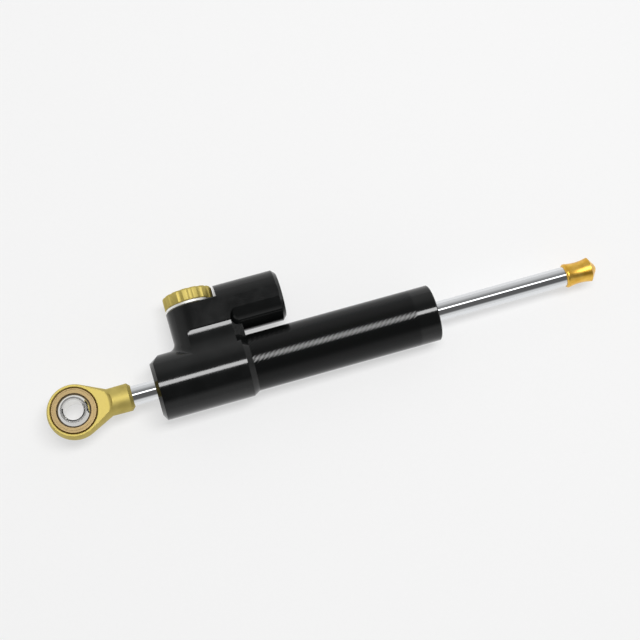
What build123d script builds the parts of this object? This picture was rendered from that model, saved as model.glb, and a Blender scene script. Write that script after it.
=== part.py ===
from build123d import *
import math
import os

# Motorcycle steering damper, millimetres.
# X runs along the rod, from the rod end's bolt hole (origin) to the free end's cap.
# Y points to the adjuster knob and the side cylinder. Z is the rod end's bolt axis.

# Clearances and small common sizes
overrun = 2.0
seat_gap = 0.02
run_gap = 0.03
face_gap = 0.05
ring_gap = 0.03
stop_gap = 0.5
edge_break = 0.3

# Spherical bearing in the rod end
bolt_r = 4.0
ball_width = 12.0
ball_face_land = 1.2
ball_bore_chamfer = 0.5
race_wall = 1.21
race_width = 9.0
race_edge = 0.35
race_groove_inset = 0.8
race_groove_width = 0.5
race_groove_depth = 0.3

# Rod end: an eye with milled cheeks on a round shank
eye_wall = 1.85
eye_width = 8.6
eye_flare_deg = 26.0
cheek_run_out = 4.4
cheek_cutter_extra = 1.0
cheek_fillet = 1.6
waist_from_eye = 3.0
waist_r = 5.5
shank_r = 5.6
shank_length = 12.4
shank_chamfer = 1.3
shank_mouth_gap = 0.15
shank_mouth_depth = 1.6

# Rod
rod_r = 4.0
rod_stub_r = 3.0
rod_stub_depth = 9.5
rod_tail_r = 2.5
rod_tail_length = 7.0
rod_chamfer = 0.5

# Cap on the free end
cap_x = 205.0
cap_length = 13.6
cap_lip_r = 4.9
cap_lip_width = 1.1
cap_lip_chamfer = 0.5
cap_waist_r = 4.4
cap_waist_at_share = 0.32
cap_shoulder_r = 5.0
cap_shoulder_at_share = 0.79
cap_nose_r = 2.2
cap_nose_depth = 0.9
cap_mouth_depth = 0.8

# Oil chamber, the same bore through head block and tube
chamber_r = 9.0

# Head block, round about the rod
head_x = 33.0
head_length = 39.4
head_wall = 2.5
head_front_chamfer_x = 1.4
head_front_chamfer_r = 2.4
head_rear_chamfer_x = 2.4
brow_length = 4.4
brow_depth = 2.8
brow_offset = 9.6

# Tube, screwed into the head block
tube_wall = 2.5
tube_length = 76.3
tube_end_chamfer = 0.4
spigot_wall = 1.5
spigot_length = 9.9
spigot_chamfer = 0.5
spigot_ring_from_mouth = 3.7

# Rod guides, one in the head block and one in the tube
guide_step = 0.5
guide_bore_clear = 0.15
wiper_width = 3.0
wiper_pocket_depth = 3.2
wiper_lip_width = 1.4
wiper_lip_height = 1.2
seal_width = 2.6
seal_groove_width = 2.6
seal_land = 1.2
seal_lip_share = 0.22
seal_cup_share = 0.5
bush_wall = 1.0
bush_length = 4.4
bush_land = 1.0
guide_ring_from_inside = 2.8

# Retaining rings and O-rings
clip_thickness = 1.0
clip_width = 1.9
clip_groove_depth = 0.6
clip_opening_deg = 50.0
clip_lug_r = 1.25
clip_lug_hole_r = 0.5
clip_lug_deg = 32.0
clip_recess = 1.0
o_ring_section = 1.3
o_ring_groove_width = 1.9
small_section = 1.0
small_groove_width = 1.4

# Piston on the rod
piston_end_gap = 1.3
piston_length = 12.0
piston_gap = 0.3
piston_chamfer = 0.8
band_width = 6.0
band_depth = 1.05
rod_clip_thickness = 0.8
rod_clip_groove_depth = 0.5
rod_clip_width = 1.9

# Neck, knob seat and web, all part of the head block
knob_from_front = 21.7
column_r = 10.2
seat_rise = 4.1
seat_chamfer = 0.3
slab_side = 10.2
groove_height = 4.6
groove_reach = 4.2
groove_corner_r = 2.0
groove_blend_r = 14.5
groove_floor_width = 16.4
web_width = 12.0
web_overhang = 0.2
root_fillet = 3.0

# Side cylinder, part of the head block too
side_r = 10.5
side_wall = 3.0
side_gap = 2.0
side_knob_gap = 0.6
side_flat_length = 3.1
side_run_out_r = 4.5
side_end_round = 3.0
side_length = 25.6
side_end_wall = 3.8
side_chamfer = 1.5

# Adjuster: spindle, gland, index ring and knob
spindle_r = 3.0
spindle_gap = 0.05
valve_above_chamber = 3.3
valve_slot_width = 1.2
valve_slot_height = 1.6
port_r = 1.4
collar_width = 1.2
collar_gap = 0.3
collar_room_gap = 0.2
collar_room_height = 2.9
gland_depth = 9.9
gland_r = 6.3
gland_top_gap = 0.25
gland_ring_rise = 1.8
spanner_hole_r = 0.7
spanner_hole_depth = 1.5
spanner_hole_at_r = 4.8
spindle_ring_low_rise = 2.1
spindle_ring_high_rise = 5.4
knob_inset = 0.1
knob_thickness = 5.1
knob_edge = 0.8
knob_under_edge = 0.4
knob_flutes = 15
flute_r = 1.7
flute_depth = 0.45
flute_phase_share = 0.5
hub_r = 5.2
ring_thickness = 1.2
ring_inset = 0.5
ring_seat_gap = 0.1
drive_flat = 2.2
drive_rise = 0.5
screw_r = 1.5
screw_length = 8.0
screw_head_r = 2.75
screw_head_height = 2.6
screw_head_gap = 0.15
screw_recess = 0.3
screw_socket_flats = 2.5
screw_socket_depth = 1.4

# Click ball, its spring and the dimples it drops into
clicks = 22
detent_r = 1.0
detent_hole_gap = 0.05
detent_proud = 0.04
detent_hole_depth = 6.0
detent_spring_wire = 0.3
detent_spring_turns = 7
dimple_r = 0.75
dimple_sink_share = 0.4

# Relief piston, spring, plug and bleed screw in the side cylinder
relief_gap = 0.2
relief_length = 8.0
relief_nose_length = 2.4
relief_nose_gap = 2.0
relief_wall = 1.8
relief_cup_depth = 5.0
relief_ring_from_nose = 1.2
oilway_r = 1.2
oilway_start_from_knob = 2.6
spring_wire = 1.2
spring_gap = 0.2
spring_turns = 5
plug_recess_in_bore = 0.35
plug_length = 6.1
plug_cup_depth = 2.2
plug_recess_r = 4.3
plug_recess_depth = 1.6
plug_ring_from_front = 3.6
bleed_r = 2.5
bleed_head_r = 3.4
bleed_head_height = 1.7
bleed_socket_flats = 3.0
bleed_socket_depth = 1.2
bleed_tip_gap = 0.3
washer_r = 3.8
washer_thickness = 0.5

# Radii and places worked out from the sizes above
ball_r = math.hypot(bolt_r + ball_face_land, ball_width / 2)
race_r = ball_r + race_wall
eye_r = race_r + eye_wall
cheek_cutter_r = eye_r + cheek_cutter_extra
cheek_end_x = eye_r + cheek_run_out
waist_x = eye_r + waist_from_eye
shank_end_x = eye_r + shank_length
spigot_r = chamber_r + spigot_wall
head_r = spigot_r + head_wall
tube_r = chamber_r + tube_wall
guide_bore_r = chamber_r + guide_step
guide_r = guide_bore_r - face_gap
wiper_pocket_r = rod_r + wiper_width
seal_groove_r = rod_r + seal_width
bush_r = rod_r + bush_wall
guide_length = bush_length + bush_land + seal_groove_width + seal_land + wiper_pocket_depth
o_ring_r = o_ring_section / 2
piston_r = chamber_r - piston_gap
head_end_x = head_x + head_length
tube_start_x = head_end_x - spigot_length
tube_end_x = head_end_x + tube_length
spigot_ring_x = head_end_x - spigot_ring_from_mouth
front_guide_x = head_x + clip_recess + clip_thickness + 2 * face_gap
rear_guide_x = tube_end_x - clip_recess - clip_thickness - 2 * face_gap
travel_left = cap_x - tube_end_x - stop_gap
travel_right = head_x - shank_end_x - stop_gap
piston_end_x = rear_guide_x - guide_length - piston_end_gap - travel_right - rod_clip_thickness
piston_x = piston_end_x - piston_length
knob_x = head_x + knob_from_front
knob_r = column_r - knob_inset
ring_r = column_r - ring_inset
detent_at_r = (gland_r + column_r) / 2
side_y = tube_r + side_gap + side_r
slab_y = head_r + groove_height
seat_y = side_y + seat_rise
knob_top_y = seat_y + ring_seat_gap + ring_thickness + knob_thickness
groove_start_x = knob_x - groove_reach
web_half = web_width / 2
blend_z = groove_floor_width / 2 + groove_blend_r
blend_y = math.sqrt((head_r + groove_blend_r) ** 2 - blend_z ** 2)
blend_share = head_r / (head_r + groove_blend_r)
web_end_x = head_end_x + web_overhang
side_step_x = knob_x + knob_r + side_knob_gap
side_round_x = side_step_x + side_flat_length
side_end_x = side_step_x + side_length
spindle_bore_r = spindle_r + spindle_gap
spindle_end_y = chamber_r + valve_above_chamber
gland_y = seat_y - gland_depth
gland_groove_y = gland_y + gland_ring_rise
collar_r = spindle_r + collar_width
collar_room_r = collar_r + collar_room_gap
collar_room_y = gland_y - collar_room_height
collar_y = collar_room_y + collar_gap
collar_height = gland_y - face_gap - collar_y
drive_y = seat_y + drive_rise
relief_bore_r = side_r - side_wall
relief_bore_x = side_step_x + side_end_wall
relief_x = relief_bore_x + relief_gap
relief_nose_r = relief_bore_r - relief_nose_gap
relief_cup_r = relief_bore_r - relief_wall
relief_ring_x = relief_x + relief_nose_length + relief_ring_from_nose
spring_r = relief_cup_r - spring_gap - spring_wire / 2
relief_clip_x = side_end_x - plug_recess_in_bore - clip_thickness
plug_x = relief_clip_x - face_gap - plug_length


def turned_x(points):
    """A solid turned about the rod's axis from (x, radius) points."""
    return revolve(make_face(Polyline(points, close=True)), Axis.X)


def turned_y(points, x, z=0.0):
    """A solid turned about an axis along Y from (radius, y) points."""
    return Pos(x, 0, z) * revolve(make_face(Polyline(points, close=True)), Axis.Y)


def rod_x(x0, x1, r, y=0.0):
    """A plain cylinder along X."""
    return Pos((x0 + x1) / 2, y, 0) * Rot(0, 90, 0) * Cylinder(r, x1 - x0)


def rod_y(y0, y1, r, x, z=0.0):
    """A plain cylinder along Y."""
    return Pos(x, (y0 + y1) / 2, z) * Rot(90, 0, 0) * Cylinder(r, y1 - y0)


def block(x0, x1, y0, y1, z0, z1):
    """A box between two corners."""
    place = Pos((x0 + x1) / 2, (y0 + y1) / 2, (z0 + z1) / 2)
    return place * Box(x1 - x0, y1 - y0, z1 - z0)


def sleeve_x(x0, x1, r_in, r_out):
    """A turned bush along X, with its four rims broken."""
    c = min(edge_break, (r_out - r_in) / 4)
    points = [(x0, r_in + c), (x0 + c, r_in), (x1 - c, r_in), (x1, r_in + c)]
    points += [(x1, r_out - c), (x1 - c, r_out), (x0 + c, r_out), (x0, r_out - c)]
    return turned_x(points)


def o_ring_x(x, r_seat, y=0.0):
    """An O-ring round an X axis, its outside just clear of the bore it seals."""
    return Pos(x, y, 0) * Rot(0, 90, 0) * Torus(r_seat - ring_gap - o_ring_r, o_ring_r)


def o_ring_groove_x(x, r_seat):
    """The groove that holds such an O-ring, as a tool."""
    r_floor = r_seat - o_ring_section - 2 * ring_gap
    half = o_ring_groove_width / 2
    points = [(x - half, r_floor), (x + half, r_floor)]
    points += [(x + half, r_seat + overrun), (x - half, r_seat + overrun)]
    return turned_x(points)


def bore_clip_outline(r_out):
    """A bore's retaining ring seen flat: an open ring with two holed lugs."""
    r_in = r_out - clip_width
    half_gap = math.radians(clip_opening_deg / 2)
    reach = r_out + overrun
    wedge = [(0, 0), (reach, reach * math.tan(half_gap)), (reach, -reach * math.tan(half_gap))]
    outline = Circle(r_out) - Circle(r_in) - make_face(Polyline(wedge, close=True))
    for side in (-1, 1):
        angle = math.radians(side * clip_lug_deg)
        spot = Pos(r_in * math.cos(angle), r_in * math.sin(angle))
        outline += spot * Circle(clip_lug_r)
        outline -= spot * Circle(clip_lug_hole_r)
    return outline & Circle(r_out)


def bore_clip_x(x, r_bore, y=0.0):
    """A retaining ring sprung into the groove of a bore along X."""
    plane = Plane(origin=(x, y, 0), z_dir=(1, 0, 0))
    ring = bore_clip_outline(r_bore + clip_groove_depth - seat_gap)
    return extrude(plane * ring, clip_thickness)


def bore_clip_groove_x(x, r_bore, y=0.0):
    """The groove for such a ring, as a tool."""
    return rod_x(x - face_gap, x + clip_thickness + face_gap, r_bore + clip_groove_depth, y)


def helix_spring(x0, x1, r_mid, wire, turns):
    """A compression spring along X between two seats."""
    pitch = (x1 - x0 - wire) / turns
    path = Helix(pitch, x1 - x0 - wire, r_mid)
    section = Plane(origin=path @ 0, z_dir=path % 0) * Circle(wire / 2)
    coil = sweep(section, path=path, is_frenet=True)
    return Pos(x0 + wire / 2, 0, 0) * Rot(0, 90, 0) * coil


def rod_end_blank():
    """The turned blank: ball-shaped head, flared neck and round shank."""
    flare = math.radians(eye_flare_deg)
    tangent = (eye_r * math.sin(flare), eye_r * math.cos(flare))
    arc = CenterArc((0, 0), eye_r, 90 - eye_flare_deg, 90 + eye_flare_deg)
    points = [tangent, (waist_x, waist_r), (shank_end_x - shank_chamfer, shank_r)]
    points += [(shank_end_x, shank_r - shank_chamfer), (shank_end_x, 0), (-eye_r, 0)]
    profile = make_face(Wire([arc, *Polyline(points).edges()]))
    return revolve(profile, Axis.X)


def cheek_cutter(side):
    """The tool that mills one cheek flat and runs out in an arc."""
    half = eye_width / 2
    centre_x = cheek_end_x - cheek_cutter_r
    depth = eye_r
    tool = Pos(centre_x, 0, half + depth / 2) * Cylinder(cheek_cutter_r, depth)
    tool += block(-eye_r - overrun, centre_x, -cheek_cutter_r, cheek_cutter_r, half, half + depth)
    floor_edges = tool.faces().sort_by(Axis.Z)[0].outer_wire().edges()
    tool = fillet(floor_edges.filter_by(GeomType.CIRCLE), cheek_fillet)
    return tool if side > 0 else mirror(tool, Plane.XY)


def rod_end_housing():
    """The gold rod end: eye, milled cheeks, race seat and threaded shank."""
    body = rod_end_blank()
    body -= cheek_cutter(1)
    body -= cheek_cutter(-1)
    body -= Cylinder(race_r + seat_gap, eye_width + overrun)
    rims = body.edges().filter_by(GeomType.CIRCLE).filter_by(
        lambda e: abs(e.radius - race_r - seat_gap) < seat_gap / 2)
    body = chamfer(rims, race_edge)
    body -= rod_x(shank_end_x - rod_stub_depth - overrun, shank_end_x, rod_stub_r + seat_gap)
    body -= rod_x(shank_end_x - shank_mouth_depth, shank_end_x + overrun, rod_r + shank_mouth_gap)
    return body


def bearing_race():
    """The bearing's outer race, with its hollow sphere seat."""
    ring = Cylinder(race_r, race_width)
    ring = chamfer(ring.edges().filter_by(GeomType.CIRCLE), race_edge)
    ring -= Sphere(ball_r + run_gap)
    half = race_width / 2
    groove_r = race_r - race_groove_inset
    groove = Cylinder(groove_r, race_groove_depth * 2)
    groove -= Cylinder(groove_r - race_groove_width, race_groove_depth * 2)
    ring -= Pos(0, 0, half) * groove
    ring -= Pos(0, 0, -half) * groove
    return ring


def bearing_ball():
    """The ball: a sphere cut flat on both sides, with the bolt hole."""
    half = ball_width / 2
    ball = Sphere(ball_r) & block(-ball_r, ball_r, -ball_r, ball_r, -half, half)
    ball -= Cylinder(bolt_r, ball_width + overrun)
    mouths = ball.edges().filter_by(GeomType.CIRCLE).filter_by(
        lambda e: abs(e.radius - bolt_r) < seat_gap)
    return chamfer(mouths, ball_bore_chamfer)


def piston_rod():
    """The chromed through-rod, with a threaded stub at each end."""
    x0 = shank_end_x - rod_stub_depth
    x1 = shank_end_x - shank_mouth_depth + seat_gap
    x3 = cap_x + cap_mouth_depth - seat_gap
    c = rod_chamfer
    points = [(x0, 0), (x0, rod_stub_r - c), (x0 + c, rod_stub_r), (x1, rod_stub_r)]
    points += [(x1, rod_r - c), (x1 + c, rod_r), (x3 - c, rod_r), (x3, rod_r - c)]
    points += [(x3, rod_tail_r), (x3 + rod_tail_length - c, rod_tail_r)]
    points += [(x3 + rod_tail_length, rod_tail_r - c), (x3 + rod_tail_length, 0)]
    rod = turned_x(points)
    for x in (piston_x - rod_clip_thickness, piston_x + piston_length):
        rod -= rod_groove_x(x)
    return rod


def rod_groove_x(x):
    """A retaining ring's groove round the rod, as a tool."""
    x0 = x - face_gap
    x1 = x + rod_clip_thickness + face_gap
    return rod_x(x0, x1, rod_r + overrun) - rod_x(x0, x1, rod_r - rod_clip_groove_depth)


def end_cap():
    """The waisted cap on the rod's free end, with a lip and a blunt nose."""
    x0 = cap_x
    x_lip = x0 + cap_lip_width
    x_waist = x0 + cap_length * cap_waist_at_share
    x_shoulder = x0 + cap_length * cap_shoulder_at_share
    x_tip = x0 + cap_length
    dome_r = (cap_nose_r ** 2 + cap_nose_depth ** 2) / (2 * cap_nose_depth)
    half_turn = math.asin(cap_nose_r / dome_r) / 2
    dome_mid = (x_tip - dome_r * (1 - math.cos(half_turn)), dome_r * math.sin(half_turn))
    dome_start = (x_tip - cap_nose_depth, cap_nose_r)
    edges = Polyline([(x_tip, 0), (x0, 0), (x0, cap_lip_r - cap_lip_chamfer),
                      (x0 + cap_lip_chamfer, cap_lip_r), (x_lip, cap_lip_r)]).edges()
    edges += [ThreePointArc((x_lip, cap_lip_r), (x_waist, cap_waist_r),
                            (x_shoulder, cap_shoulder_r))]
    edges += [Line((x_shoulder, cap_shoulder_r), dome_start)]
    edges += [ThreePointArc(dome_start, dome_mid, (x_tip, 0))]
    cap = revolve(make_face(edges), Axis.X)
    cap -= rod_x(x0 - overrun, x0 + cap_mouth_depth, rod_r + seat_gap)
    cap -= rod_x(x0, x0 + cap_mouth_depth + rod_tail_length + seat_gap, rod_tail_r + seat_gap)
    return cap


def plan_view(points):
    """A closed outline in the plane of rod and adjuster."""
    return make_face(Polyline(points, close=True))


def groove_cutter():
    """The tool that mills the shallow groove under the slab on the +Z side."""
    touch = (blend_y * blend_share, blend_z * blend_share)
    middle = (blend_y, blend_z - groove_blend_r)
    depth = math.sqrt(groove_blend_r ** 2 - (slab_y - blend_y) ** 2)
    edge = (slab_y, blend_z - depth)
    top = head_r + overrun
    edges = [ThreePointArc(touch, middle, edge)]
    edges += Polyline([edge, (slab_y, top), (touch[0], top), touch]).edges()
    start = Plane.YZ.offset(groove_start_x)
    tool = extrude(start * make_face(edges), side_round_x + overrun - groove_start_x)
    corner = tool.edges().filter_by(Axis.Z).sort_by(Axis.X)[:2].sort_by(Axis.Y)[-1]
    return fillet(corner, groove_corner_r)


def neck():
    """The neck that rises from the head: knob column and flat slab."""
    column = rod_y(0, seat_y, column_r, knob_x)
    slab = block(knob_x, side_step_x, 0, seat_y, -slab_side, slab_side)
    body = column + slab
    rim = body.faces().sort_by(Axis.Y)[-1].edges().filter_by(lambda e: e.center().X < side_step_x)
    body = chamfer(rim, seat_chamfer)
    return body + block(side_step_x, side_round_x, 0, side_y, -slab_side, slab_side)


def run_out():
    """The slab's end on the side cylinder, a corner left by the milling cutter's radius."""
    x1 = side_round_x + side_run_out_r
    corner = block(side_round_x, x1, slab_y, side_y, -slab_side, slab_side)
    return corner - Pos(x1, slab_y, 0) * Cylinder(side_run_out_r, 2 * slab_side + overrun)


def side_cylinder():
    """The side cylinder's outside, with a flat on both sides, level with the slab."""
    c = side_chamfer
    start = (side_round_x, side_r - side_end_round)
    stop = (side_round_x + side_end_round, side_r)
    drop = side_end_round * (1 - math.sqrt(0.5))
    middle = (side_round_x + drop, side_r - drop)
    edges = [ThreePointArc(start, middle, stop)]
    edges += Polyline([stop, (side_end_x - c, side_r), (side_end_x, side_r - c), (side_end_x, 0),
                       (side_round_x, 0), start]).edges()
    barrel = revolve(make_face(edges), Axis.X)
    far_half = rod_x(side_step_x, side_end_x - c, side_r)
    far_half -= block(side_step_x - overrun, side_end_x, -side_r - overrun, 0,
                      -side_r - overrun, side_r + overrun)
    barrel += far_half
    x0 = side_step_x - overrun
    x1 = side_end_x + overrun
    skim = block(x0, x1, -side_r, side_r, slab_side, side_r + overrun)
    return Pos(0, side_y, 0) * (barrel - skim - mirror(skim, Plane.XY))


def brow_cutter():
    """The tool for the crescent-shaped facet on the head's front, under the knob."""
    y0 = head_r - brow_depth + brow_offset
    slope = brow_depth / brow_length
    x0 = head_x - overrun
    x1 = head_x + brow_length + overrun
    reach = y0 + slope * (x1 - head_x) + head_r
    points = [(x0, y0 - slope * overrun), (x1, y0 + slope * (x1 - head_x)), (x1, reach), (x0, reach)]
    ring = Pos(0, -brow_offset, 0) * turned_x(points)
    return ring & block(x0, x1, 0, head_r + overrun, -head_r, head_r)


def head_outside():
    """The head block's outside: round body, neck and side cylinder."""
    x0 = head_x
    x1 = head_end_x
    points = [(x0, 0), (x0, head_r - head_front_chamfer_r), (x0 + head_front_chamfer_x, head_r)]
    points += [(x1 - head_rear_chamfer_x, head_r), (x1, tube_r + face_gap), (x1, 0)]
    head = turned_x(points) - brow_cutter() + neck()
    roots = head.edges().filter_by(GeomType.BSPLINE)
    roots = roots.filter_by(lambda e: knob_x - column_r < e.center().X < knob_x)
    head = fillet(roots, root_fillet)
    top = blend_z * blend_share
    head += block(groove_start_x, side_round_x, 0, slab_y, -top, top)
    tool = groove_cutter()
    head -= tool + mirror(tool, Plane.XY)
    head += block(knob_x, web_end_x, 0, side_y, -web_half, web_half)
    return head + run_out() + side_cylinder()


def oilway():
    """The slanted hole from the oil chamber up into the side cylinder, as a tool."""
    start = Vector(knob_x + oilway_start_from_knob, chamber_r - oilway_r, 0)
    end = Vector(relief_bore_x + oilway_r, side_y - relief_bore_r + oilway_r, 0)
    along = end - start
    plane = Plane(origin=start, z_dir=along)
    return extrude(plane * Circle(oilway_r), along.length)


def head_bores():
    """Everything that is bored into the head block, as one tool."""
    x0 = head_x
    shoulder_x = front_guide_x + guide_length
    tool = rod_x(x0 - overrun, shoulder_x, guide_bore_r)
    tool += rod_x(x0, tube_start_x, chamber_r)
    tool += rod_x(tube_start_x - seat_gap, head_end_x + overrun, spigot_r + seat_gap)
    tool += rod_x(head_end_x, side_end_x, tube_r + face_gap)
    tool += spigot_ring_groove()
    tool += bore_clip_groove_x(x0 + clip_recess, guide_bore_r)
    tool += rod_y(0, collar_room_y + seat_gap, port_r, knob_x)
    tool += rod_y(spindle_end_y - run_gap, collar_room_y + seat_gap, spindle_bore_r, knob_x)
    tool += rod_y(collar_room_y, gland_y, collar_room_r, knob_x)
    tool += rod_y(gland_y - seat_gap, seat_y + overrun, gland_r + seat_gap, knob_x)
    hole_r = detent_r + detent_hole_gap
    tool += rod_y(seat_y - detent_hole_depth, seat_y + overrun, hole_r, knob_x - detent_at_r)
    tool += rod_x(relief_bore_x, side_end_x + overrun, relief_bore_r, side_y)
    tool += bore_clip_groove_x(relief_clip_x, relief_bore_r, side_y)
    return tool + oilway()


def spigot_ring_groove():
    """The groove in the head block's bore for the tube's O-ring, as a tool."""
    half = o_ring_groove_width / 2
    r_floor = spigot_r + seat_gap + o_ring_section + 2 * ring_gap
    return rod_x(spigot_ring_x - half, spigot_ring_x + half, r_floor)


def head_block():
    """The head block: one machining that carries everything else."""
    return head_outside() - head_bores()


def cylinder_tube():
    """The tube: spigot in the head block, chamber bore and guide bore."""
    xs = tube_start_x
    xe = tube_end_x
    c = spigot_chamfer
    points = [(xs, chamber_r), (xs, spigot_r - c), (xs + c, spigot_r)]
    points += [(head_end_x + seat_gap, spigot_r), (head_end_x + seat_gap, tube_r)]
    points += [(xe - tube_end_chamfer, tube_r), (xe, tube_r - tube_end_chamfer)]
    points += [(xe, guide_bore_r + tube_end_chamfer), (xe - tube_end_chamfer, guide_bore_r)]
    shoulder_x = rear_guide_x - guide_length
    points += [(shoulder_x, guide_bore_r), (shoulder_x, chamber_r)]
    tube = turned_x(points)
    tube -= bore_clip_groove_x(xe - clip_recess - clip_thickness, guide_bore_r)
    return tube


def guide_blank():
    """A rod guide along X from its inner face at 0 to its outer face."""
    length = guide_length
    c = edge_break
    pocket_x = length - wiper_pocket_depth
    seal_x = pocket_x - seal_land - seal_groove_width
    r_pass = rod_r + guide_bore_clear
    points = [(0, bush_r), (0, guide_r - c), (c, guide_r), (length - c, guide_r)]
    points += [(length, guide_r - c), (length, wiper_pocket_r), (pocket_x, wiper_pocket_r)]
    points += [(pocket_x, r_pass), (seal_x + seal_groove_width, r_pass)]
    points += [(seal_x + seal_groove_width, seal_groove_r), (seal_x, seal_groove_r)]
    points += [(seal_x, r_pass), (bush_length, r_pass), (bush_length, bush_r)]
    guide = turned_x(points)
    return guide - o_ring_groove_x(guide_ring_from_inside, guide_r)


def bush_blank():
    """The plain bush that carries the rod inside a guide."""
    return sleeve_x(face_gap, bush_length - face_gap, rod_r + run_gap, bush_r - seat_gap)


def seal_blank():
    """The rod seal: a U-shaped ring that opens towards the oil."""
    x1 = guide_length - wiper_pocket_depth - seal_land - face_gap
    x0 = x1 - seal_groove_width + 2 * face_gap
    r0 = rod_r + run_gap
    r1 = seal_groove_r - seat_gap
    middle = (r0 + r1) / 2
    lip = (r1 - r0) * seal_lip_share
    depth = (x1 - x0) * seal_cup_share
    points = [(x0, r0), (x0, r0 + lip), (x0 + depth, middle), (x0, r1 - lip)]
    points += [(x0, r1), (x1, r1), (x1, r0)]
    return turned_x(points)


def wiper_blank():
    """The wiper: a stiff ring with a lip that stands out along the rod."""
    x0 = guide_length - wiper_pocket_depth + face_gap
    x1 = guide_length - edge_break
    r0 = rod_r + run_gap
    points = [(x0, r0), (x0, wiper_pocket_r - seat_gap), (x1, wiper_pocket_r - seat_gap)]
    points += [(x1, rod_r + wiper_lip_width), (x1 + wiper_lip_height, r0 + edge_break)]
    points += [(x1 + wiper_lip_height, r0)]
    return turned_x(points)


def at_front(blank):
    """Places a guide's piece in the head block, facing left."""
    return Pos(front_guide_x + guide_length, 0, 0) * mirror(blank, Plane.YZ)


def at_rear(blank):
    """Places a guide's piece in the tube, facing right."""
    return Pos(rear_guide_x - guide_length, 0, 0) * blank


def guide_o_ring():
    """The O-ring round a rod guide."""
    return o_ring_x(guide_ring_from_inside, guide_bore_r)


def piston():
    """The piston, with a groove for its band."""
    x0 = piston_x + seat_gap
    x1 = piston_x + piston_length - seat_gap
    c = piston_chamfer
    r_in = rod_r + seat_gap
    middle = (x0 + x1) / 2
    floor_r = piston_r - band_depth
    half = band_width / 2
    points = [(x0, r_in), (x0, piston_r - c), (x0 + c, piston_r), (middle - half, piston_r)]
    points += [(middle - half, floor_r), (middle + half, floor_r), (middle + half, piston_r)]
    points += [(x1 - c, piston_r), (x1, piston_r - c), (x1, r_in)]
    return turned_x(points)


def piston_band():
    """The sliding band in the piston's groove."""
    middle = piston_x + piston_length / 2
    half = band_width / 2 - face_gap
    r_in = piston_r - band_depth + run_gap
    return sleeve_x(middle - half, middle + half, r_in, chamber_r - run_gap)


def piston_circlips():
    """The two retaining rings that hold the piston on the rod."""
    ring = rod_clip_outline()
    left = Plane(origin=(piston_x - rod_clip_thickness, 0, 0), z_dir=(1, 0, 0)) * ring
    right = Plane(origin=(piston_x + piston_length, 0, 0), z_dir=(1, 0, 0)) * ring
    return [extrude(left, rod_clip_thickness), extrude(right, rod_clip_thickness)]


def rod_clip_outline():
    """An open ring that snaps round the rod's groove."""
    r_in = rod_r - rod_clip_groove_depth + seat_gap
    half_gap = math.radians(clip_opening_deg / 2)
    r_out = rod_r + rod_clip_width
    reach = r_out + overrun
    wedge = [(0, 0), (reach, reach * math.tan(half_gap)), (reach, -reach * math.tan(half_gap))]
    return Circle(r_out) - Circle(r_in) - make_face(Polyline(wedge, close=True))


def adjuster_spindle():
    """The metering spindle: slotted valve end, collar, seal grooves and drive flats."""
    y0 = spindle_end_y
    y1 = knob_top_y - screw_recess - screw_head_height - screw_head_gap
    c = edge_break
    points = [(0, y0), (spindle_r - c, y0), (spindle_r, y0 + c), (spindle_r, collar_y)]
    points += [(collar_r, collar_y), (collar_r, collar_y + collar_height)]
    points += [(spindle_r, collar_y + collar_height)]
    for rise in (spindle_ring_low_rise, spindle_ring_high_rise):
        points += small_groove(gland_y + rise)
    points += [(spindle_r, y1 - c), (spindle_r - c, y1), (0, y1)]
    spindle = turned_y(points, knob_x)
    slot = block(knob_x - spindle_r, knob_x + spindle_r, y0 - overrun, y0 + valve_slot_height,
                 -valve_slot_width / 2, valve_slot_width / 2)
    spindle -= slot
    spindle -= rod_y(y1 - screw_length, y1 + overrun, screw_r + seat_gap, knob_x)
    flat = block(knob_x + drive_flat, knob_x + spindle_r + overrun, drive_y, y1 + overrun,
                 -spindle_r, spindle_r)
    return spindle - flat


def small_groove(y):
    """The points of a small O-ring groove round the spindle."""
    half = small_groove_width / 2
    floor_r = spindle_bore_r - small_section - 2 * ring_gap
    return [(spindle_r, y - half), (floor_r, y - half), (floor_r, y + half), (spindle_r, y + half)]


def spindle_o_rings():
    """The spindle's two O-rings."""
    r_mid = spindle_bore_r - ring_gap - small_section / 2
    ring = Rot(90, 0, 0) * Torus(r_mid, small_section / 2)
    rises = (spindle_ring_low_rise, spindle_ring_high_rise)
    return [Pos(knob_x, gland_y + rise, 0) * ring for rise in rises]


def adjuster_gland():
    """The threaded bush that holds the spindle down and seals it."""
    y0 = gland_y
    y1 = seat_y - gland_top_gap
    c = edge_break
    r_floor = gland_r - o_ring_section - 2 * ring_gap + seat_gap
    half = o_ring_groove_width / 2
    points = [(spindle_bore_r, y0), (gland_r - c, y0), (gland_r, y0 + c)]
    points += [(gland_r, gland_groove_y - half), (r_floor, gland_groove_y - half)]
    points += [(r_floor, gland_groove_y + half), (gland_r, gland_groove_y + half)]
    points += [(gland_r, y1 - c), (gland_r - c, y1), (spindle_bore_r, y1)]
    gland = turned_y(points, knob_x)
    for side in (-1, 1):
        hole = rod_y(y1 - spanner_hole_depth, y1 + overrun, spanner_hole_r, knob_x,
                     side * spanner_hole_at_r)
        gland -= hole
    return gland


def gland_o_ring():
    """The O-ring between gland and neck."""
    r_mid = gland_r + seat_gap - ring_gap - o_ring_r
    return Pos(knob_x, gland_groove_y, 0) * Rot(90, 0, 0) * Torus(r_mid, o_ring_r)


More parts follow.
